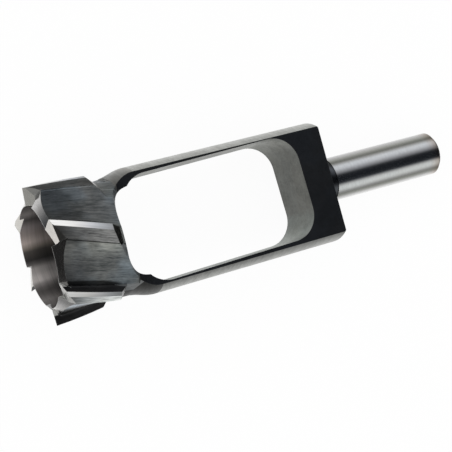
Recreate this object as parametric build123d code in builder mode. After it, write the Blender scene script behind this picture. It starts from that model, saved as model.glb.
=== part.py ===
from build123d import *
from math import cos, degrees, radians, sin
import os

# A plug cutter, turned and milled from one bar of steel.
# Lengths are in millimetres and angles in degrees.
# The tool is modelled with its axis along X: the cutting rim is at x = 0 and the shank ends at the far side.
# Y is across the window, and Z is square to the two flats of the yoke.
# At the end it is rolled about its axis and pitched into the position in which it comes to rest on a bench.

# Cutting head
plug_r = 14.25
tooth_wall = 4.95
tooth_length = 16.1
tooth_count = 6
tooth_phase_angle = 3.55
flute_twist_angle = 16.8
bore_land_length = 14.0
bore_step_length = 1.0
hollow_step = 0.95

# Gullets between the teeth
land_width = 1.7
heel_width = 5.2
heel_drop = 0.75
floor_step = 0.25
foot_wall = 2.35
foot_fillet = 1.0

# Ground front of each tooth, and the bevelled lip between two teeth
lip_bevel_angle = 40.4
corner_lag = 0.25
relief_angle = 15.6
relief_width = 5.0
relief_end_angle = 12.0
heel_break_depth = 0.8
heel_break_angle = 54.0
heel_break_heading_angle = 44.7

# Neck behind the head
neck_wall = 1.45
neck_end_x = 21.3
ramp_length = 8.1
flute_end_x = 22.6

# Yoke with its window and flats
yoke_end_x = 89.0
yoke_edge = 0.3
flats_thickness = 17.4
flats_start_x = 27.9
flats_runout_r = 8.75
arm_thickness = 2.95
window_start_x = 24.6
window_end_x = 80.2
window_corner_r = 8.0
window_turn_angle = 0.97
window_shift = 0.15

# Shank
shank_r = 6.5
shank_neck_r = 6.3
shank_neck_length = 3.1
shank_length = 37.9
shank_chamfer = 0.9

# How the tool lies on a bench: on one tooth, one edge of the yoke and the end of the shank
lying_roll_angle = -8.16
lying_pitch_angle = 6.18

# Room left beyond a face by the shapes that cut it
spare = 3.0

tooth_pitch = 360.0 / tooth_count
tooth_r = plug_r + tooth_wall
foot_r = plug_r + foot_wall
hollow_r = plug_r + hollow_step
window_width = 2 * hollow_r
neck_r = hollow_r + neck_wall
yoke_r = hollow_r + arm_thickness
cutter_r = tooth_r + spare
shank_start_x = yoke_end_x + shank_neck_length
overall_length = shank_start_x + shank_length


def around(radius, angle):
    """Point at a radius and an angle in a section square to the axis."""
    return (radius * cos(radians(angle)), radius * sin(radians(angle)))


def flute_plane(x):
    """Section plane at x, turned with the twist of the flutes."""
    return Plane(origin=(x, 0, 0), x_dir=(0, *around(1.0, flute_twist_angle * x / tooth_length)), z_dir=(1, 0, 0))


# Turned blank, as one profile revolved about the axis
rear_chamfer = tooth_r - neck_r
with BuildPart() as tool:
    with BuildSketch(Plane.XY):
        with BuildLine():
            Polyline(
                (0, 0),
                (0, tooth_r),
                (tooth_length, tooth_r),
                (tooth_length + rear_chamfer, neck_r),
                (neck_end_x, neck_r),
            )
            Spline(
                (neck_end_x, neck_r),
                (neck_end_x + ramp_length, yoke_r),
                tangents=((1, 0), (1, 0)),
            )
            Polyline(
                (neck_end_x + ramp_length, yoke_r),
                (yoke_end_x - yoke_edge, yoke_r),
                (yoke_end_x, yoke_r - yoke_edge),
                (yoke_end_x, shank_neck_r),
                (shank_start_x, shank_neck_r),
                (shank_start_x, shank_r),
                (overall_length - shank_chamfer, shank_r),
                (overall_length, shank_r - shank_chamfer),
                (overall_length, 0),
                (0, 0),
            )
        make_face()
    revolve(axis=Axis.X)

    # Bore: the land that guides the plug, then a wider hollow that leads into the window
    with BuildSketch(Plane.XY):
        with BuildLine():
            Polyline(
                (-spare, 0),
                (-spare, plug_r),
                (bore_land_length, plug_r),
                (bore_land_length + bore_step_length, hollow_r),
                (flats_start_x, hollow_r),
                (flats_start_x, 0),
                close=True,
            )
        make_face()
    revolve(axis=Axis.X, mode=Mode.SUBTRACT)

    # Window across the yoke, milled a little out of line with the axis
    with BuildSketch(Plane.XY):
        with Locations(((window_start_x + window_end_x) / 2, window_shift)):
            RectangleRounded(
                window_end_x - window_start_x,
                window_width,
                window_corner_r,
                rotation=window_turn_angle,
            )
    extrude(amount=cutter_r, both=True, mode=Mode.SUBTRACT)

    # Flats on both sides, each with the round run-out of its milling cutter at the neck
    with BuildSketch(Plane.XZ):
        with BuildLine():
            RadiusArc(
                (flats_start_x, flats_thickness / 2),
                (flats_start_x - flats_runout_r, flats_thickness / 2 + flats_runout_r),
                flats_runout_r,
            )
            Polyline(
                (flats_start_x - flats_runout_r, flats_thickness / 2 + flats_runout_r),
                (flats_start_x - flats_runout_r, cutter_r),
                (yoke_end_x + spare, cutter_r),
                (yoke_end_x + spare, flats_thickness / 2),
                (flats_start_x, flats_thickness / 2),
            )
        make_face()
        mirror(about=Plane.XZ)
    extrude(amount=cutter_r, both=True, mode=Mode.SUBTRACT)

# One gullet: land edge, heel facet, flat floor and rounded foot, up the cutting face of the next tooth
land_angle = degrees(land_width / tooth_r)
heel_angle = degrees(heel_width / tooth_r)
foot_point = around(foot_r, tooth_pitch)
gullet_sections = 5
with BuildPart() as gullet:
    for step in range(gullet_sections):
        section_x = -spare + (flute_end_x + spare) * step / (gullet_sections - 1)
        with BuildSketch(flute_plane(section_x)) as section:
            with BuildLine():
                Polyline(
                    around(cutter_r, land_angle),
                    around(tooth_r, land_angle),
                    around(tooth_r - heel_drop, heel_angle),
                    around(tooth_r - heel_drop - floor_step, heel_angle),
                    foot_point,
                    around(cutter_r, tooth_pitch),
                    close=True,
                )
            make_face()
            fillet(section.vertices().sort_by_distance((*foot_point, 0))[0], foot_fillet)
    loft()

# Region in front of one tooth where its ground faces end, seen along the axis
relief_end = Vector(*around(plug_r, degrees(relief_width / plug_r)))
end_line = Vector(*around(1.0, relief_end_angle))
relief_region = [
    tuple(relief_end - end_line * spare)[:2],
    tuple(relief_end + end_line * 3 * spare)[:2],
    (cutter_r, -2 * spare),
    (plug_r - spare, -2 * spare),
]
rise = (corner_lag / (tooth_r - plug_r), sin(radians(relief_angle)) / cos(radians(relief_angle)))
relief_plane = Plane(origin=(0, plug_r, 0), z_dir=(1, -rise[0], -rise[1]))
heel_break_slope = around(sin(radians(heel_break_angle)), heel_break_heading_angle)
heel_break_plane = Plane(
    origin=(heel_break_depth, *around(tooth_r, land_angle)),
    z_dir=(cos(radians(heel_break_angle)), -heel_break_slope[0], -heel_break_slope[1]),
)

# Front relief: the clearance face ground behind each cutting edge
with BuildPart() as front_relief:
    with BuildSketch(Plane.YZ.offset(-spare)):
        Polygon(*relief_region, align=None)
    extrude(amount=3 * spare)
    split(bisect_by=relief_plane, keep=Keep.BOTTOM)

# Heel break: the steeper face that takes off the outer corner behind the relief
with BuildPart() as heel_break:
    with BuildSketch(Plane.YZ.offset(-spare)):
        Polygon(*relief_region, align=None)
    extrude(amount=3 * spare)
    split(bisect_by=heel_break_plane, keep=Keep.BOTTOM)

# Bevel of the lip from the end of one tooth's relief to the cutting face of the next tooth
lip_slope = sin(radians(lip_bevel_angle)) / cos(radians(lip_bevel_angle))
next_face = Vector(*around(1.0, tooth_pitch))
next_back = Vector(-next_face.Y, next_face.X)
twist_slope = radians(flute_twist_angle) * foot_r / tooth_length
with BuildPart() as lip_cut:
    with BuildSketch(Plane.XY):
        with BuildLine():
            Polyline(
                (-spare, plug_r - spare / lip_slope),
                (-spare, cutter_r),
                ((cutter_r - plug_r) * lip_slope, cutter_r),
                close=True,
            )
        make_face()
    revolve(axis=Axis.X)
    with BuildSketch(Plane.YZ.offset(-spare)):
        Polygon(
            tuple(relief_end - end_line * 2 * spare)[:2],
            tuple(relief_end + end_line * 4 * spare)[:2],
            tuple(next_face * 2 * cutter_r)[:2],
            tuple(next_face * 2 * cutter_r + next_back * cutter_r)[:2],
            tuple(next_face * spare + next_back * cutter_r)[:2],
            tuple(next_face * spare)[:2],
            align=None,
        )
    extrude(amount=4 * spare, mode=Mode.INTERSECT)
    with BuildSketch(Plane.YZ):
        Polygon(
            tuple(next_face * spare)[:2],
            tuple(next_face * 2 * cutter_r)[:2],
            tuple(next_face * 2 * cutter_r + next_back * 2 * cutter_r)[:2],
            tuple(next_face * spare + next_back * 2 * cutter_r)[:2],
            align=None,
        )
    extrude(
        amount=4 * spare,
        dir=(1, next_back.X * twist_slope, next_back.Y * twist_slope),
        both=True,
        mode=Mode.SUBTRACT,
    )

# The finished tool: every pitch gets its gullet, front faces and lip bevel
with BuildPart() as cut_tool:
    add(tool.part)
    for tooth in range(tooth_count):
        with Locations(Location((0, 0, 0), (tooth_phase_angle + tooth_pitch * tooth, 0, 0))):
            for cutter in (gullet, front_relief, heel_break, lip_cut):
                add(cutter.part, mode=Mode.SUBTRACT)

# The tool as it lies: rolled about its own axis, then pitched with the shank end down
with BuildPart() as plug_cutter:
    with Locations(Location((0, 0, 0), (0, lying_pitch_angle, 0))):
        add(cut_tool.part, rotation=(lying_roll_angle, 0, 0))

plug_cutter.part.label = "plug_cutter"

os.makedirs("parts", exist_ok=True)
export_step(plug_cutter.part, "parts/plug_cutter.step")
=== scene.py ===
import math

import bmesh
import bpy
from mathutils import Euler, Matrix, Vector


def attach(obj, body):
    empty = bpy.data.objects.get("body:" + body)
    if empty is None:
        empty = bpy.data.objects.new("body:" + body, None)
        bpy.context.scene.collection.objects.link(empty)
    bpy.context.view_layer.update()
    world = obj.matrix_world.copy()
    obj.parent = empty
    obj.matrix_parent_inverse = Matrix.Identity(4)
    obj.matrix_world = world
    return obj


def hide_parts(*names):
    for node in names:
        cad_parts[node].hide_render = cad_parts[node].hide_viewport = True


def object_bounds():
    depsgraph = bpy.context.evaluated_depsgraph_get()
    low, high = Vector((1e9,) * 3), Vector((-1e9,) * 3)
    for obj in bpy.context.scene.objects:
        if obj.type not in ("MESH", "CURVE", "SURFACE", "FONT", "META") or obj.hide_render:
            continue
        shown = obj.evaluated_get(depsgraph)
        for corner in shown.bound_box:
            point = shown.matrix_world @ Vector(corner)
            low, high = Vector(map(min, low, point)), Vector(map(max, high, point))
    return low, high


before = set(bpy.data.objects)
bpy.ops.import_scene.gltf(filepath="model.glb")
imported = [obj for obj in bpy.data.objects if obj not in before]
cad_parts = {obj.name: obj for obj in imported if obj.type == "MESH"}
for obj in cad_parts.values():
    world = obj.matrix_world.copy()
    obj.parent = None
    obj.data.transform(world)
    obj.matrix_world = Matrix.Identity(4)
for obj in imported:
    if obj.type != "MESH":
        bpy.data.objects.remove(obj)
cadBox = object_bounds()
print("frame loaded")

# How the tool lies: rolled about its own axis, then pitched with the shank end down (degrees).
# In the tool's own directions x runs from the cutting rim to the shank, y across the window to the far side,
# and z square to the flats.
lying = {"roll": -8.16, "pitch": 6.18}
rollTurn = Matrix.Rotation(math.radians(lying["roll"]), 4, "X")
pitchTurn = Matrix.Rotation(math.radians(lying["pitch"]), 4, "Y")
toolToRow = pitchTurn @ rollTurn
rowToTool = toolToRow.inverted()
rowToToolAngles = tuple(rowToTool.to_euler("XYZ"))

# The flutes: where the first tooth stands, how far apart they are and how they twist (degrees and metres)
flutes = {"phase": 3.55, "pitch": 60.0, "twist": 16.8 / 0.0161}

bpy.context.scene.view_settings.view_transform = "Standard"


# Shader maths on sockets
class Sock:
    def __init__(self, tree, out):
        self.tree = tree
        self.out = out

    def math(self, operation, *others, first=None):
        node = self.tree.nodes.new("ShaderNodeMath")
        node.operation = operation
        for i, value in enumerate((self if first is None else first, *others)):
            if isinstance(value, Sock):
                self.tree.links.new(value.out, node.inputs[i])
            else:
                node.inputs[i].default_value = value
        return Sock(self.tree, node.outputs[0])

    def __add__(self, other):
        return self.math("ADD", other)

    def __sub__(self, other):
        return self.math("SUBTRACT", other)

    def __rsub__(self, other):
        return self.math("SUBTRACT", self, first=other)

    def __mul__(self, other):
        return self.math("MULTIPLY", other)

    def __truediv__(self, other):
        return self.math("DIVIDE", other)

    def __rtruediv__(self, other):
        return self.math("DIVIDE", self, first=other)

    __radd__ = __add__
    __rmul__ = __mul__

    def span(self, low, high, toLow=0.0, toHigh=1.0):
        node = self.tree.nodes.new("ShaderNodeMapRange")
        node.interpolation_type = "SMOOTHSTEP"
        self.tree.links.new(self.out, node.inputs["Value"])
        for name, value in (("From Min", low), ("From Max", high), ("To Min", toLow), ("To Max", toHigh)):
            node.inputs[name].default_value = value
        return Sock(self.tree, node.outputs[0])


class Tree:
    def __init__(self, tree):
        self.tree = tree
        tree.nodes.clear()

    def feed(self, socket, value):
        if isinstance(value, Sock):
            self.tree.links.new(value.out, socket)
        elif isinstance(value, tuple) and len(value) == 3 and socket.type == "RGBA":
            socket.default_value = (*value, 1.0)
        else:
            socket.default_value = value

    # Settings come first, then the sockets, by name or by number as i0, i1 and so on.
    # An output of None gives all of the node's outputs.
    def add(self, kind, settings=None, output=0, **values):
        node = self.tree.nodes.new(kind)
        for name, value in (settings or {}).items():
            if name == "stops":
                self.setStops(node.color_ramp, value)
            else:
                setattr(node, name, value)
        for name, value in values.items():
            numbered = name[0] == "i" and name[1:].isdigit()
            self.feed(node.inputs[int(name[1:]) if numbered else name.replace("_", " ")], value)
        outputs = [Sock(self.tree, out) for out in node.outputs]
        if output is None:
            return outputs
        return outputs[output] if outputs else None

    def setStops(self, ramp, stops):
        while len(ramp.elements) < len(stops):
            ramp.elements.new(0.5)
        for element, (place, level) in zip(ramp.elements, stops):
            element.position = place
            element.color = (*level, 1.0) if isinstance(level, tuple) else (level, level, level, 1.0)

    def ramp(self, factor, stops):
        return self.add("ShaderNodeValToRGB", {"stops": stops}, i0=factor)

    def parts(self, vector):
        return self.add("ShaderNodeSeparateXYZ", output=None, i0=vector)

    def mix(self, factor, low, high, blend="MIX"):
        settings = {"data_type": "RGBA", "blend_type": blend}
        return self.add("ShaderNodeMix", settings, output=2, i0=factor, i6=low, i7=high)

    def noise(self, vector, scale, detail=3.0, roughness=0.55):
        return self.add("ShaderNodeTexNoise", Vector=vector, Scale=scale, Detail=detail, Roughness=roughness)


# Finishes of the steel: the darkest and lightest colour, how far brown and blue tints pull them, and the
# roughness where it is lightest and darkest. Streaks run along the flutes or round the axis; grain is streaks
# per millimetre, and a small length draws them out. Bump is in millimetres, cloud the share of soft clouds in
# the pattern, and edge the lightening at sharp edges, a painted highlight and partly wear. Levels multiply
# the
# colour and are painted light and shade, highlights and reflections for one view, partly the steel's own
# tone:
# lengthwise and crosswise by millimetres along and across the tool, sides by parts of a turn round it, from
# the near side (0) under it to the far side (0.5) and back over the top. The line behind a heel has a level
# on the far side, a painted highlight, and one on the near side, painted shade; shade is the level of the
# painted shade at the foot. Corner is the colour of a painted highlight at a cutting corner, and foot the
# grey that lifts the painted shade at the foot of a cutting face.
finishes = {
    "shankGround": {
        "tones": ((0.6, 0.6, 0.595), (0.7, 0.7, 0.695)), "tint": 0.03, "metallic": 1.0, "rough": (0.13, 0.2),
        "streak": "round", "grain": 5.0, "length": 0.2, "bump": 0.004, "cloud": 0.1, "edge": 0.0,
        "lengthwise": [
            (90.0, 0.9), (96.0, 1.0), (125.5, 1.0), (127.5, (0.9, 0.84, 0.8)), (129.5, (0.62, 0.52, 0.45)),
        ],
    },
    "shankEnd": {
        "tones": ((0.1, 0.085, 0.07), (0.26, 0.22, 0.19)), "tint": 0.3, "metallic": 0.8, "rough": (0.35, 0.5),
        "streak": "round", "grain": 4.0, "length": 0.2, "bump": 0.008, "cloud": 0.3, "edge": 0.1,
    },
    "blackSatin": {
        "tones": ((0.006, 0.008, 0.011), (0.017, 0.02, 0.025)), "tint": 0.35, "metallic": 0.4,
        "rough": (0.42, 0.56), "streak": "plain", "grain": 2.0, "bump": 0.006, "cloud": 0.5, "edge": 0.06,
    },
    "yokeTurned": {
        "tones": ((0.4, 0.405, 0.385), (0.595, 0.605, 0.58)), "tint": 0.02, "metallic": 0.9,
        "rough": (0.3, 0.42), "streak": "round", "grain": 3.0, "length": 0.15, "bump": 0.006, "cloud": 0.2,
        "edge": 0.1,
        "sides": [
            (0.0, 0.85), (0.04, 1.0), (0.42, 1.15), (0.54, 1.15), (0.57, 1.0), (0.7, 1.0), (0.9, 0.45),
            (0.925, 0.42), (0.94, 0.56), (0.965, 0.66), (1.0, 0.85),
        ],
    },
    "windowMilled": {
        "tones": ((0.165, 0.171, 0.155), (0.25, 0.258, 0.234)), "tint": 0.08, "metallic": 0.85,
        "rough": (0.34, 0.5), "streak": "plain", "grain": 2.0, "bump": 0.006, "cloud": 0.35, "edge": 0.1,
        "lengthwise": [
            (60.0, 1.0), (66.0, 1.12), (72.0, 1.3), (75.0, 1.1), (77.5, 0.93), (79.0, 0.66), (80.2, 0.6),
        ],
        "crosswise": [
            (-14.0, (1.35, 1.42, 1.43)), (-9.0, (1.25, 1.32, 1.33)), (-6.5, 1.05), (0.0, 1.0), (14.0, 1.0),
        ],
    },
    "neckTurned": {
        "tones": ((0.195, 0.195, 0.187), (0.33, 0.33, 0.315)), "tint": 0.12, "metallic": 0.8,
        "rough": (0.36, 0.5), "streak": "round", "grain": 2.5, "length": 0.1, "bump": 0.012, "cloud": 0.4,
        "edge": 0.1,
        "lengthwise": [(19.0, 0.5), (21.2, 0.5), (22.6, 0.68), (24.0, 0.82), (26.0, 1.0), (28.0, 1.12)],
        "sides": [
            (0.0, 0.5), (0.2, 1.0), (0.5, 1.75), (0.52, 1.75), (0.54, 1.5), (0.553, 1.3), (0.565, 1.13),
            (0.577, 0.94), (0.59, 0.92), (0.65, 1.0), (0.75, 0.6), (0.85, 0.3), (0.92, 0.17), (0.96, 0.24),
            (1.0, 0.5),
        ],
    },
    "fluteMilled": {
        "tones": ((0.042, 0.05, 0.054), (0.25, 0.267, 0.272)), "tint": 0.36, "metallic": 0.75,
        "rough": (0.34, 0.5), "streak": "along", "grain": 4.6, "length": 0.13, "bump": 0.03, "cloud": 0.35,
        "edge": 0.12, "creaseLightAndShade": (1.9, 0.12), "shade": 0.12,
        "lengthwise": [
            (0.0, (0.52, 0.52, 0.53)), (6.0, (0.56, 0.56, 0.58)), (9.0, 0.8), (12.0, 0.94), (15.0, 1.05),
            (18.0, (1.17, 1.2, 1.22)), (22.0, (1.17, 1.2, 1.22)),
        ],
        "sides": [
            (0.0, 0.12), (0.02, 0.2), (0.06, 0.9), (0.2, 1.0), (0.5, 0.85), (0.72, 0.85),
            (0.745, (2.35, 2.3, 2.15)), (0.77, (2.1, 2.07, 1.97)), (0.8, 1.2), (0.85, 1.1), (0.87, 0.95),
            (0.905, 0.8), (0.915, 5.6), (0.932, 4.8), (0.952, 1.8), (0.968, 0.5), (0.985, 0.18), (1.0, 0.12),
        ],
    },
    # A lighter copy of the milled finish, painted light where the gullet behind tooth 1 runs out
    "litRunOutMilled": {
        "tones": ((0.1, 0.107, 0.11), (0.18, 0.19, 0.195)), "tint": 0.15, "metallic": 0.15,
        "rough": (0.34, 0.5), "streak": "along", "grain": 4.0, "length": 0.15, "bump": 0.03, "cloud": 0.35,
        "edge": 0.15,
    },
    "breakGround": {
        "tones": ((0.17, 0.168, 0.158), (0.29, 0.287, 0.272)), "tint": 0.1, "metallic": 0.2,
        "rough": (0.3, 0.45), "streak": "plain", "grain": 3.0, "bump": 0.004, "cloud": 0.3, "edge": 0.2,
        "lengthwise": [(0.0, 1.15), (1.2, 1.1), (1.9, 1.0), (2.7, 1.0), (4.0, 1.0)],
        "sides": [
            (0.0, 1.5), (0.5, 0.9), (0.6, 0.9), (0.66, 0.12), (0.75, 0.12), (0.82, 1.3), (0.9, 1.3),
            (1.0, 1.5),
        ],
    },
    "heelMilled": {
        "tones": ((0.03, 0.032, 0.033), (0.26, 0.27, 0.27)), "tint": 0.25, "metallic": 0.3,
        "rough": (0.36, 0.52), "streak": "along", "grain": 4.6, "length": 0.1, "bump": 0.04, "cloud": 0.25,
        "edge": 0.05,
        "lengthwise": [
            (2.0, 0.3), (5.0, 0.6), (7.0, 0.95), (9.0, 1.3), (11.0, 1.6), (13.0, 1.75), (16.0, 1.85),
        ],
        "sides": [
            (0.0, 1.0), (0.5, 0.26), (0.6, 0.26), (0.68, 1.0), (0.77, 1.05), (0.84, 2.1), (0.87, 2.3),
            (0.93, (3.3, 3.25, 3.05)), (0.97, 1.0), (1.0, 1.0),
        ],
    },
    "chamferTurned": {
        "tones": ((0.3, 0.3, 0.29), (0.4, 0.4, 0.39)), "tint": 0.1, "metallic": 1.0, "rough": (0.22, 0.32),
        "streak": "round", "grain": 3.0, "length": 0.1, "bump": 0.01, "cloud": 0.3, "edge": 0.0,
        "sides": [(0.0, 0.8), (0.64, 0.8), (0.7, 0.35), (0.83, 0.35), (0.87, 0.12), (0.95, 0.12), (1.0, 0.8)],
    },
    "grooveTurned": {
        "tones": ((0.05, 0.052, 0.058), (0.13, 0.135, 0.145)), "tint": 0.1, "metallic": 1.0,
        "rough": (0.24, 0.36), "streak": "round", "grain": 3.0, "length": 0.1, "bump": 0.01, "cloud": 0.3,
        "edge": 0.1,
    },
    # Rake faces and other walls in shade, painted near black as shade and dark reflection
    "rakeShade": {
        "tones": ((0.01, 0.01, 0.011), (0.035, 0.035, 0.036)), "tint": 0.1, "metallic": 0.5,
        "rough": (0.38, 0.5), "streak": "along", "grain": 3.0, "length": 0.1, "bump": 0.01, "cloud": 0.4,
        "edge": 0.05, "corner": (0.75, 0.75, 0.72), "foot": (0.13, 0.14, 0.145),
    },
    "landGround": {
        "tones": ((0.72, 0.72, 0.715), (0.98, 0.98, 0.975)), "tint": 0.05, "metallic": 0.1,
        "rough": (0.28, 0.4), "streak": "along", "grain": 3.2, "length": 0.06, "bump": 0.008, "cloud": 0.25,
        "edge": 0.25,
        "lengthwise": [
            (2.0, 1.14), (6.0, (1.01, 1.0, 0.99)), (8.5, (0.87, 0.87, 0.89)), (10.5, (0.74, 0.75, 0.79)),
            (12.6, (0.57, 0.59, 0.63)), (14.7, (0.43, 0.45, 0.48)), (16.2, (0.38, 0.39, 0.41)),
        ],
        "sides": [
            (0.0, 0.75), (0.5, 0.85), (0.68, 1.0), (0.74, 1.0), (0.84, 0.66), (0.9, (0.5, 0.5, 0.475)),
            (1.0, 0.75),
        ],
    },
    "reliefGround": {
        "tones": ((0.62, 0.62, 0.6), (0.8, 0.8, 0.775)), "tint": 0.06, "metallic": 1.0, "rough": (0.22, 0.32),
        "streak": "plain", "grain": 3.0, "bump": 0.004, "cloud": 0.3, "edge": 0.0,
        "sides": [
            (0.0, 0.9), (0.4, (0.86, 0.83, 0.79)), (0.48, (0.86, 0.83, 0.79)), (0.51, (0.65, 0.635, 0.605)),
            (0.57, (0.65, 0.635, 0.605)), (0.62, 0.9), (0.73, (1.14, 1.1, 1.08)), (0.84, 0.8), (0.868, 0.74),
            (0.876, 0.44), (0.9, 0.44), (0.93, 0.9), (1.0, 0.9),
        ],
    },
    "lipGround": {
        "tones": ((0.65, 0.643, 0.63), (0.81, 0.79, 0.78)), "tint": 0.05, "metallic": 1.0,
        "rough": (0.2, 0.3), "streak": "round", "grain": 3.0, "length": 0.2, "bump": 0.006, "cloud": 0.25,
        "edge": 0.3,
        "sides": [
            (0.0, 1.2), (0.1, 1.0), (0.572, 1.0), (0.589, 0.9), (0.607, 0.79), (0.624, (0.69, 0.7, 0.71)),
            (0.642, (0.52, 0.54, 0.56)), (0.66, (0.47, 0.49, 0.52)), (0.7, 0.55), (0.86, 0.55), (0.885, 0.8),
            (0.908, 0.48), (0.955, 0.54), (0.972, 0.62), (0.989, 1.15), (1.0, 1.2),
        ],
    },
    "boreTurned": {
        "tones": ((0.62, 0.59, 0.575), (1.0, 0.93, 0.905)), "tint": 0.05, "metallic": 0.25,
        "rough": (0.26, 0.36), "streak": "round", "grain": 2.0, "length": 0.03, "bump": 0.01, "cloud": 0.2,
        "edge": 0.25,
        "lengthwise": [
            (0.0, 1.0), (1.5, 0.98), (3.0, 0.84), (4.5, 0.66), (6.0, 0.47), (8.0, 0.38), (12.0, 0.3),
            (24.0, 0.28),
        ],
        "sides": [
            (0.0, 0.17), (0.042, 0.2), (0.097, 0.4), (0.125, 0.22), (0.139, 0.17), (0.153, 0.25),
            (0.167, 0.48), (0.181, 0.98), (0.194, 0.95), (0.208, 0.72), (0.222, 0.66), (0.236, 0.23),
            (0.25, 0.068), (0.278, (0.145, 0.14, 0.13)), (0.292, (0.49, 0.45, 0.4)),
            (0.306, (0.8, 0.73, 0.69)), (0.333, (0.48, 0.44, 0.42)), (0.361, (0.38, 0.36, 0.36)),
            (0.389, 0.12), (0.417, 0.38), (0.444, 0.2), (0.5, 0.15), (1.0, 0.17),
        ],
    },
}

# What all finishes share. Noise is counted per metre, unroll is the radius at which the flutes are laid flat,
# and the spans are the values of a pattern between which it goes from dark to light. The painted light and
# shade by place is read over the tool's length and width in millimetres; the edge colour is that of the
# painted highlight and wear on sharp edges.
pattern = {
    "fine": 1000, "coarse": 320, "cloud": 170.0, "tint": 90.0, "unroll": 0.018,
    "fineSpan": (0.28, 0.72), "coarseSpan": (0.3, 0.7), "tintSpan": (0.38, 0.62), "fineShare": 0.6,
    "brown": (1.0, 0.86, 0.74), "blue": (0.84, 0.95, 1.08), "bumpStrength": 0.5,
    "edgeRadius": 0.00022, "edgeColour": (0.85, 0.85, 0.84), "edgeSpan": (0.02, 0.2),
    "toolLength": 132.0, "toolWidth": 40.0,
}
# Painted light and shade in the gullets: the painted highlight and shade on the line behind each heel, the
# painted shade at the foot (degrees behind a tooth), which fades out along the tool, and the painted
# highlight at the corner and the lighter foot of a cutting face (metres along and out from the axis)
gulletLightAndShade = {
    "nearSide": (0.14, 0.17), "creaseLightAndShade": 15.9, "creaseLightAndShadeSpan": (0.225, 0.75, 1.0, 0.0),
    "shade": (53.2, 55.4), "shadeDrift": (0.011, 0.0175, 0.0, 3.0), "shadeFade": (0.0155, 0.018, 1.0, 0.0),
    "cornerRadius": (0.0163, 0.0166, 1.0, 0.0), "cornerEnd": (0.0011, 0.0017, 1.0, 0.0),
    "footRadius": (0.0166, 0.0168, 1.0, 0.0), "footStart": (0.013, 0.015), "footFrom": 0.015, "footRise": 0.2,
}


# Where a point is on the tool, with the flutes' twist taken out of its angle in "untwisted"
def placeOnTool(t):
    mapped = t.add("ShaderNodeMapping", i0=t.add("ShaderNodeTexCoord", output=3), i2=rowToToolAngles)
    along, across, square = t.parts(mapped)
    angle = square.math("ARCTAN2", across)
    return {
        "mapped": mapped, "along": along, "across": across, "square": square, "angle": angle,
        "radius": (across * across + square * square).math("SQRT"),
        "untwisted": angle - along * math.radians(flutes["twist"]),
    }


def streaks(t, look, at):
    coords = at["mapped"]
    if look["streak"] == "along":
        around = at["untwisted"] * pattern["unroll"]
        coords = t.add("ShaderNodeCombineXYZ", i0=at["along"] * look["length"], i1=around, i2=at["radius"])
    elif look["streak"] == "round":
        across, square = at["across"] * look["length"], at["square"] * look["length"]
        coords = t.add("ShaderNodeCombineXYZ", i0=at["along"], i1=across, i2=square)
    fine = t.noise(coords, pattern["fine"] * look["grain"], 4.0, 0.6).span(*pattern["fineSpan"])
    coarse = t.noise(coords, pattern["coarse"] * look["grain"], 2.0).span(*pattern["coarseSpan"])
    return fine * pattern["fineShare"] + coarse * (1 - pattern["fineShare"])


def multiply(t, colour, level):
    return t.mix(1.0, colour, level, "MULTIPLY")


# Painted light and shade by place, set for one view and partly the steel's own tone
def paintedLightAndToneByPlace(t, colour, look, at):
    if "sides" in look:
        colour = multiply(t, colour, t.ramp(at["angle"] / (2 * math.pi) + 0.5, look["sides"]))
    if "lengthwise" in look:
        stops = [(place / pattern["toolLength"], level) for place, level in look["lengthwise"]]
        colour = multiply(t, colour, t.ramp(at["along"] / (pattern["toolLength"] / 1000), stops))
    if "crosswise" in look:
        stops = [(place / pattern["toolWidth"] + 0.5, level) for place, level in look["crosswise"]]
        colour = multiply(t, colour, t.ramp(at["across"] / (pattern["toolWidth"] / 1000) + 0.5, stops))
    return colour


# A painted highlight at a cutting face's corner, and a grey foot that lifts the face's painted shade
def cuttingFacePaintedLight(t, colour, look, at):
    marks = gulletLightAndShade
    corner = at["radius"].span(*marks["cornerRadius"]) * at["along"].span(*marks["cornerEnd"])
    colour = t.mix(corner, colour, look["corner"])
    raised = at["radius"] - (at["along"] - marks["footFrom"]) * marks["footRise"]
    foot = raised.span(*marks["footRadius"]) * at["along"].span(*marks["footStart"])
    return t.mix(foot, colour, look["foot"])


# On the near side, painted shade on the line behind each heel and at the foot; on the far side, a painted
# highlight on that line
def gulletFloorLightAndShade(t, colour, look, at):
    marks = gulletLightAndShade
    nearSide = (at["angle"] / (2 * math.pi)).span(*marks["nearSide"])
    turned = (at["untwisted"] * (180 / math.pi) - flutes["phase"]) / flutes["pitch"]
    behind = turned.math("FRACT") * flutes["pitch"]
    onCrease = (behind - marks["creaseLightAndShade"]).math("ABSOLUTE").span(*marks["creaseLightAndShadeSpan"])
    farLevel, nearLevel = look["creaseLightAndShade"]
    creaseLightAndShadeLevel = nearSide * (nearLevel - farLevel) + farLevel
    shade = (behind - at["along"].span(*marks["shadeDrift"])).span(*marks["shade"]) * nearSide
    shade = shade * at["along"].span(*marks["shadeFade"])
    level = (onCrease * (creaseLightAndShadeLevel - 1) + 1) * (1 - shade * (1 - look["shade"]))
    return t.add("ShaderNodeVectorMath", {"operation": "SCALE"}, i0=colour, i3=level)


# Lightens sharp edges, found from the bevel's rounded normal: a painted highlight, partly edge wear
def edgeHighlightAndWear(t, colour, look, rounded):
    plain = t.add("ShaderNodeNewGeometry", output=1)
    rise = 1 - t.add("ShaderNodeVectorMath", {"operation": "DOT_PRODUCT"}, output=1, i0=rounded, i1=plain)
    return t.mix(rise.span(*pattern["edgeSpan"], 0.0, look["edge"]), colour, pattern["edgeColour"])


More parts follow.
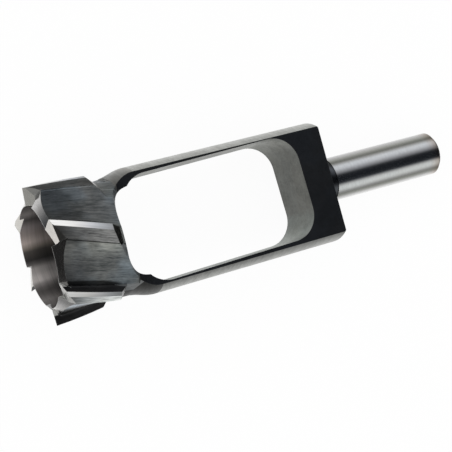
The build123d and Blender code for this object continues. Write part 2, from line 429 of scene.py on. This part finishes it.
def steel(name, look):
    material = bpy.data.materials.new(name)
    material.use_nodes = True
    t = Tree(material.node_tree)
    at = placeOnTool(t)
    streak = streaks(t, look, at)
    cloud = t.noise(at["mapped"], pattern["cloud"]).span(*pattern["coarseSpan"])
    mask = streak * (1 - look["cloud"]) + cloud * look["cloud"]
    colour = t.mix(mask, *look["tones"])
    tint = t.noise(at["mapped"], pattern["tint"], 2.0).span(*pattern["tintSpan"])
    tint = t.mix(tint, pattern["brown"], pattern["blue"])
    colour = t.mix(look["tint"], colour, multiply(t, colour, tint))
    # Painted light and shade by place, then the painted marks on cutting faces and in the gullets
    colour = paintedLightAndToneByPlace(t, colour, look, at)
    if "corner" in look:
        colour = cuttingFacePaintedLight(t, colour, look, at)
    if "creaseLightAndShade" in look:
        colour = gulletFloorLightAndShade(t, colour, look, at)
    # Levels above 1 may not lift a colour past white
    colour = t.add("ShaderNodeVectorMath", {"operation": "MINIMUM"}, i0=colour, i1=(1.0, 1.0, 1.0))
    rounded = t.add("ShaderNodeBevel", {"samples": 8}, Radius=pattern["edgeRadius"])
    if look["edge"]:
        colour = edgeHighlightAndWear(t, colour, look, rounded)
    smoothest, roughest = look["rough"]
    rough = mask * (smoothest - roughest) + roughest
    depth, strength = look["bump"] / 1000, pattern["bumpStrength"]
    bump = t.add("ShaderNodeBump", Strength=strength, Distance=depth, Height=streak, Normal=rounded)
    shader = t.add(
        "ShaderNodeBsdfPrincipled", Base_Color=colour, Metallic=look["metallic"], Roughness=rough, Normal=bump
    )
    t.add("ShaderNodeOutputMaterial", Surface=shader)
    return material


steels = {name: steel(name, look) for name, look in finishes.items()}
print("finishes:", len(steels))

# The tool, in millimetres on its own axis. Heel end and step are degrees behind a tooth.
toolSizes = {
    "toothRadius": 19.2, "heelRadius": 18.35, "heelEnd": 15.6, "step": (10, 35), "frontEnd": 4.5,
    "boreRadius": 15.4, "neckStart": 18.65, "neckRadius": 16.65, "gulletEnd": 22.7, "rampRadius": 16.05,
    "yokeStart": 29.4, "yokeEnd": 89.0, "flat": 8.65, "flatRunOut": (23.0, 28.2), "backFace": 88.65,
    "shankStart": 92.1, "chamferStart": 129.1, "slack": 0.1, "sunk": 0.02, "sharpEdge": 12.0,
}
# How far a face has to lean to be one of its kind, as parts of its normal
leans = {
    "relief": -0.9, "lip": -0.68, "front": -0.3, "inward": -0.6, "bore": 0.8, "round": 0.7, "chamfer": 0.5,
    "back": 0.6, "land": 0.97, "heel": 0.9, "floor": 0.3, "outer": 0.75, "upright": 0.2, "level": 0.99,
    "across": 0.02,
}
# Where the gullet behind tooth 1 runs out on the neck's near side, and where the painted shade beside it
# starts and ends, as millimetres along and degrees round
runOut = {
    "floorEnd": ((24.0, 143.3), (21.2, 155.7)),
    "shadeTop": ((18.7, 147.2), (21.2, 155.7)),
    "shadeEnd": ((18.65, 153.2), (21.2, 155.7)),
}
runOutArea = {"end": 24.5, "angles": (135, 157), "outward": 0.8, "cut": (18.5, 27), "cutRadius": 16}


def passes(mark, x, angle):
    (x0, a0), (x1, a1) = runOut[mark]
    return angle > a0 + (x - x0) * (a1 - a0) / (x1 - x0)


# Teeth are counted from the far side (0) over the top (1) to the near side (2) and on under the tool
def finishOf(centre, normal):
    s = toolSizes
    slack = s["slack"]
    x, y, z = centre * 1000
    radius = math.hypot(y, z)
    outward = (normal.y * y + normal.z * z) / max(1e-6, radius)
    around = (normal.z * y - normal.y * z) / max(1e-6, radius)
    angle = math.degrees(math.atan2(z, y))
    turned = angle - flutes["phase"] - flutes["twist"] * x / 1000
    tooth, behind = divmod(turned % 360, flutes["pitch"])
    inGullet = x < s["gulletEnd"]
    atFront = x < s["frontEnd"]

    if x > s["yokeEnd"] + slack:
        if x < s["shankStart"] + slack:
            return "grooveTurned"
        return "shankEnd" if x > s["chamferStart"] else "shankGround"
    inBore = outward < leans["inward"] and radius < s["boreRadius"] and x < s["yokeStart"]
    if inBore and abs(normal.x) < leans["bore"]:
        return "boreTurned"

    if atFront and normal.x < leans["front"]:
        if normal.x < leans["relief"]:
            return "reliefGround"
        return "lipGround" if normal.x < leans["lip"] else "breakGround"
    # Rake faces are painted near black as shade, and so is the step on tooth 1
    if inGullet and around < -leans["round"]:
        onStep = s["step"][0] < behind < s["step"][1] and atFront
        return "landGround" if onStep and tooth != 1 else "rakeShade"
    if x < s["neckStart"] and radius > s["toothRadius"] - slack and outward > leans["land"]:
        return "landGround"
    # Behind the heel, tooth 1's gullet gets the lighter copy of the milled finish, painted light
    if x < s["neckStart"] + slack and normal.x > leans["chamfer"]:
        if behind < s["heelEnd"]:
            return "chamferTurned"
        return "litRunOutMilled" if tooth == 1 else "fluteMilled"

    onFlat = x > s["gulletEnd"] and abs(z) > s["flat"] and abs(normal.y) < leans["across"]
    inRunOut = s["flatRunOut"][0] < x < s["flatRunOut"][1]
    if onFlat and (abs(normal.z) > leans["level"] or inRunOut):
        return "blackSatin"
    if x > s["backFace"] and normal.x > leans["back"]:
        return "blackSatin"

    # Tooth 1's faces turned this way are painted near black as shade
    if inGullet and around > leans["round"]:
        if tooth == 1:
            return "rakeShade"
        return "breakGround" if atFront else "fluteMilled"
    if inGullet and behind < s["heelEnd"] and radius > s["heelRadius"] and outward > leans["heel"]:
        return "heelMilled"
    onHead = x < s["neckStart"] or radius < s["neckRadius"] - s["sunk"]
    if inGullet and outward > leans["floor"] and onHead:
        return "fluteMilled"

    onRunOut = s["neckStart"] < x < runOutArea["end"] and outward > runOutArea["outward"]
    low, high = runOutArea["angles"]
    # On the run-out, the lighter milled copy is painted light, and the strip after it painted near black as
    # shade
    if onRunOut and low < angle < high and not passes("floorEnd", x, angle):
        if not passes("shadeTop", x, angle):
            return "litRunOutMilled"
        if not passes("shadeEnd", x, angle):
            return "rakeShade"
    if x < s["gulletEnd"] + slack:
        return "fluteMilled" if outward > leans["outer"] and tooth < 2 else "neckTurned"
    if outward > leans["outer"] and radius > s["rampRadius"]:
        return "yokeTurned" if x > s["yokeStart"] - slack else "neckTurned"
    return "windowMilled" if abs(normal.z) < leans["upright"] else "neckTurned"


# Cuts the neck's near faces along one mark, so that a finish can end there
def cutNeck(work, mark):
    radius = toolSizes["neckRadius"]
    points = []
    for x, angle in runOut[mark]:
        a = math.radians(angle)
        points.append(Vector((x, radius * math.cos(a), radius * math.sin(a))) / 1000)
    middle = (points[0] + points[1]) / 2
    across = (points[1] - points[0]).cross(Vector((0, middle.y, middle.z))).normalized()
    turn = toolToRow.to_3x3()
    back = rowToTool.to_3x3()
    start, end = runOutArea["cut"]
    near = []
    for face in work.faces:
        x, y, z = back @ face.calc_center_median() * 1000
        if start < x < end and y < 0 < z and math.hypot(y, z) > runOutArea["cutRadius"]:
            near.append(face)
    parts = near + list({e for f in near for e in f.edges}) + list({v for f in near for v in f.verts})
    bmesh.ops.bisect_plane(work, geom=parts, dist=1e-6, plane_co=turn @ points[0], plane_no=turn @ across)


def makeTool(source):
    mesh = source.data.copy()
    mesh.name = "plugCutterSkin"
    mesh.materials.clear()
    order = list(finishes)
    for name in order:
        mesh.materials.append(steels[name])
    work = bmesh.new()
    work.from_mesh(mesh)
    bmesh.ops.remove_doubles(work, verts=work.verts, dist=1e-6)
    for mark in runOut:
        cutNeck(work, mark)
    turn = rowToTool.to_3x3()
    for face in work.faces:
        face.smooth = True
        face.material_index = order.index(finishOf(turn @ face.calc_center_median(), turn @ face.normal))
    limit = math.radians(toolSizes["sharpEdge"])
    for edge in work.edges:
        if len(edge.link_faces) == 2:
            edge.smooth = edge.calc_face_angle() < limit
    work.to_mesh(mesh)
    work.free()
    # Normals copied from the frame's mesh would override the sharp edges
    if "custom_normal" in mesh.attributes:
        mesh.attributes.remove(mesh.attributes["custom_normal"])
    tool = bpy.data.objects.new("plugCutterSkin", mesh)
    bpy.context.scene.collection.objects.link(tool)
    return tool


tool = makeTool(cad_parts["plug_cutter"])
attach(tool, "root")
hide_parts("plug_cutter")
print("tool:", len(tool.data.polygons), "faces")

# Studio: what the camera, matt surfaces and shiny surfaces each see of the room
studio = {
    "floorCentre": 0.06, "floorGap": 0.00006, "floorSize": 6.0, "floorColour": (0.98, 0.98, 0.98),
    "shadow": 0.05, "white": (1.0, 1.0, 1.0), "fill": (0.95, 0.95, 0.95), "back": (0.04, 0.04, 0.04),
    "frontSpan": (-0.62, -0.35), "backSpan": (0.62, 0.9),
}
# Round the tool's axis, from under it over the near side to straight above the flats (0.5), then the far side
ringLevels = [
    (0.0, 1.0), (0.056, 1.0), (0.1, 0.95), (0.133, 0.8), (0.178, (0.46, 0.465, 0.44)),
    (0.222, (0.27, 0.28, 0.255)), (0.256, 0.38), (0.289, (0.69, 0.71, 0.70)), (0.315, (0.84, 0.87, 0.87)),
    (0.351, (0.80, 0.83, 0.83)), (0.376, 0.54), (0.394, (0.19, 0.20, 0.215)), (0.41, (0.025, 0.028, 0.034)),
    (0.46, (0.014, 0.016, 0.020)), (0.51, (0.018, 0.020, 0.025)), (0.53, (0.048, 0.05, 0.056)),
    (0.556, (0.25, 0.255, 0.275)), (0.589, (0.50, 0.51, 0.54)), (0.62, (0.76, 0.785, 0.83)),
    (0.66, (0.86, 0.89, 0.935)), (0.70, 0.5), (0.73, (0.225, 0.23, 0.21)), (0.76, (0.265, 0.27, 0.25)),
    (0.80, (0.48, 0.485, 0.46)), (0.86, 0.7), (0.92, 0.85), (0.96, 0.95), (1.0, 1.0),
]
# Ahead of the cutting rim, from straight down (0) over the horizon (0.5) to straight up
frontLevels = [
    (0.0, 1.0), (0.08, 1.0), (0.14, 0.96), (0.17, 0.73), (0.21, 0.48), (0.29, 0.385), (0.43, 0.146),
    (0.53, 0.038), (0.6, 0.03), (1.0, 0.025),
]


def makeFloor():
    place = (studio["floorCentre"], 0, cadBox[0][2] - studio["floorGap"])
    bpy.ops.mesh.primitive_plane_add(size=studio["floorSize"], location=place)
    floor = bpy.context.object
    floor.name = "paleFloor"
    material = bpy.data.materials.new("paleFloor")
    material.use_nodes = True
    t = Tree(material.node_tree)
    isCamera = t.add("ShaderNodeLightPath")
    isGlossy = t.add("ShaderNodeLightPath", output=3)
    matte = t.add("ShaderNodeBsdfDiffuse", Color=studio["floorColour"])
    white = t.add("ShaderNodeEmission", Color=studio["white"], Strength=1.0)
    seeThrough = t.add("ShaderNodeBsdfTransparent")
    seen = t.add("ShaderNodeMixShader", i0=studio["shadow"], i1=white, i2=matte)
    toCamera = t.add("ShaderNodeMixShader", i0=isCamera, i1=matte, i2=seen)
    surface = t.add("ShaderNodeMixShader", i0=isGlossy, i1=toCamera, i2=seeThrough)
    t.add("ShaderNodeOutputMaterial", Surface=surface)
    floor.data.materials.append(material)


def makeWorld():
    world = bpy.data.worlds.new("studio")
    bpy.context.scene.world = world
    world.use_nodes = True
    world.cycles.sampling_method = "NONE"
    t = Tree(world.node_tree)
    isCamera = t.add("ShaderNodeLightPath")
    isGlossy = t.add("ShaderNodeLightPath", output=3)
    direction = t.add("ShaderNodeTexCoord")
    height = t.parts(direction)[2]
    turned = t.add("ShaderNodeMapping", {"vector_type": "VECTOR"}, i0=direction, i2=rowToToolAngles)
    ahead, side, up = t.parts(turned)
    ring = t.ramp(side.math("ARCTAN2", up) / (2 * math.pi) + 0.5, ringLevels)
    front = t.ramp(height * 0.5 + 0.5, frontLevels)
    shine = t.mix(ahead.span(*studio["frontSpan"]), front, ring)
    shine = t.mix(ahead.span(*studio["backSpan"]), shine, studio["back"])
    unseen = t.mix(isGlossy, studio["fill"], shine)
    colour = t.mix(isCamera, unseen, studio["white"])
    t.add("ShaderNodeOutputWorld", Surface=t.add("ShaderNodeBackground", Color=colour, Strength=1.0))


# The camera that was fitted to the photo, in metres, degrees and millimetres of lens and sensor
photoView = {
    "place": (-0.05717, 0.04046, 0.33133), "turn": (-3.169, -19.641, -12.634), "lens": 98.95, "sensor": 36.0,
    "nearest": 0.01,
}


def makeCamera():
    data = bpy.data.cameras.new("photoCamera")
    data.lens = photoView["lens"]
    data.sensor_width = photoView["sensor"]
    data.clip_start = photoView["nearest"]
    camera = bpy.data.objects.new("photoCamera", data)
    camera.location = photoView["place"]
    camera.rotation_euler = Euler([math.radians(a) for a in photoView["turn"]], "XYZ")
    bpy.context.scene.collection.objects.link(camera)
    bpy.context.scene.camera = camera


makeFloor()
makeWorld()
makeCamera()
print("studio ready")
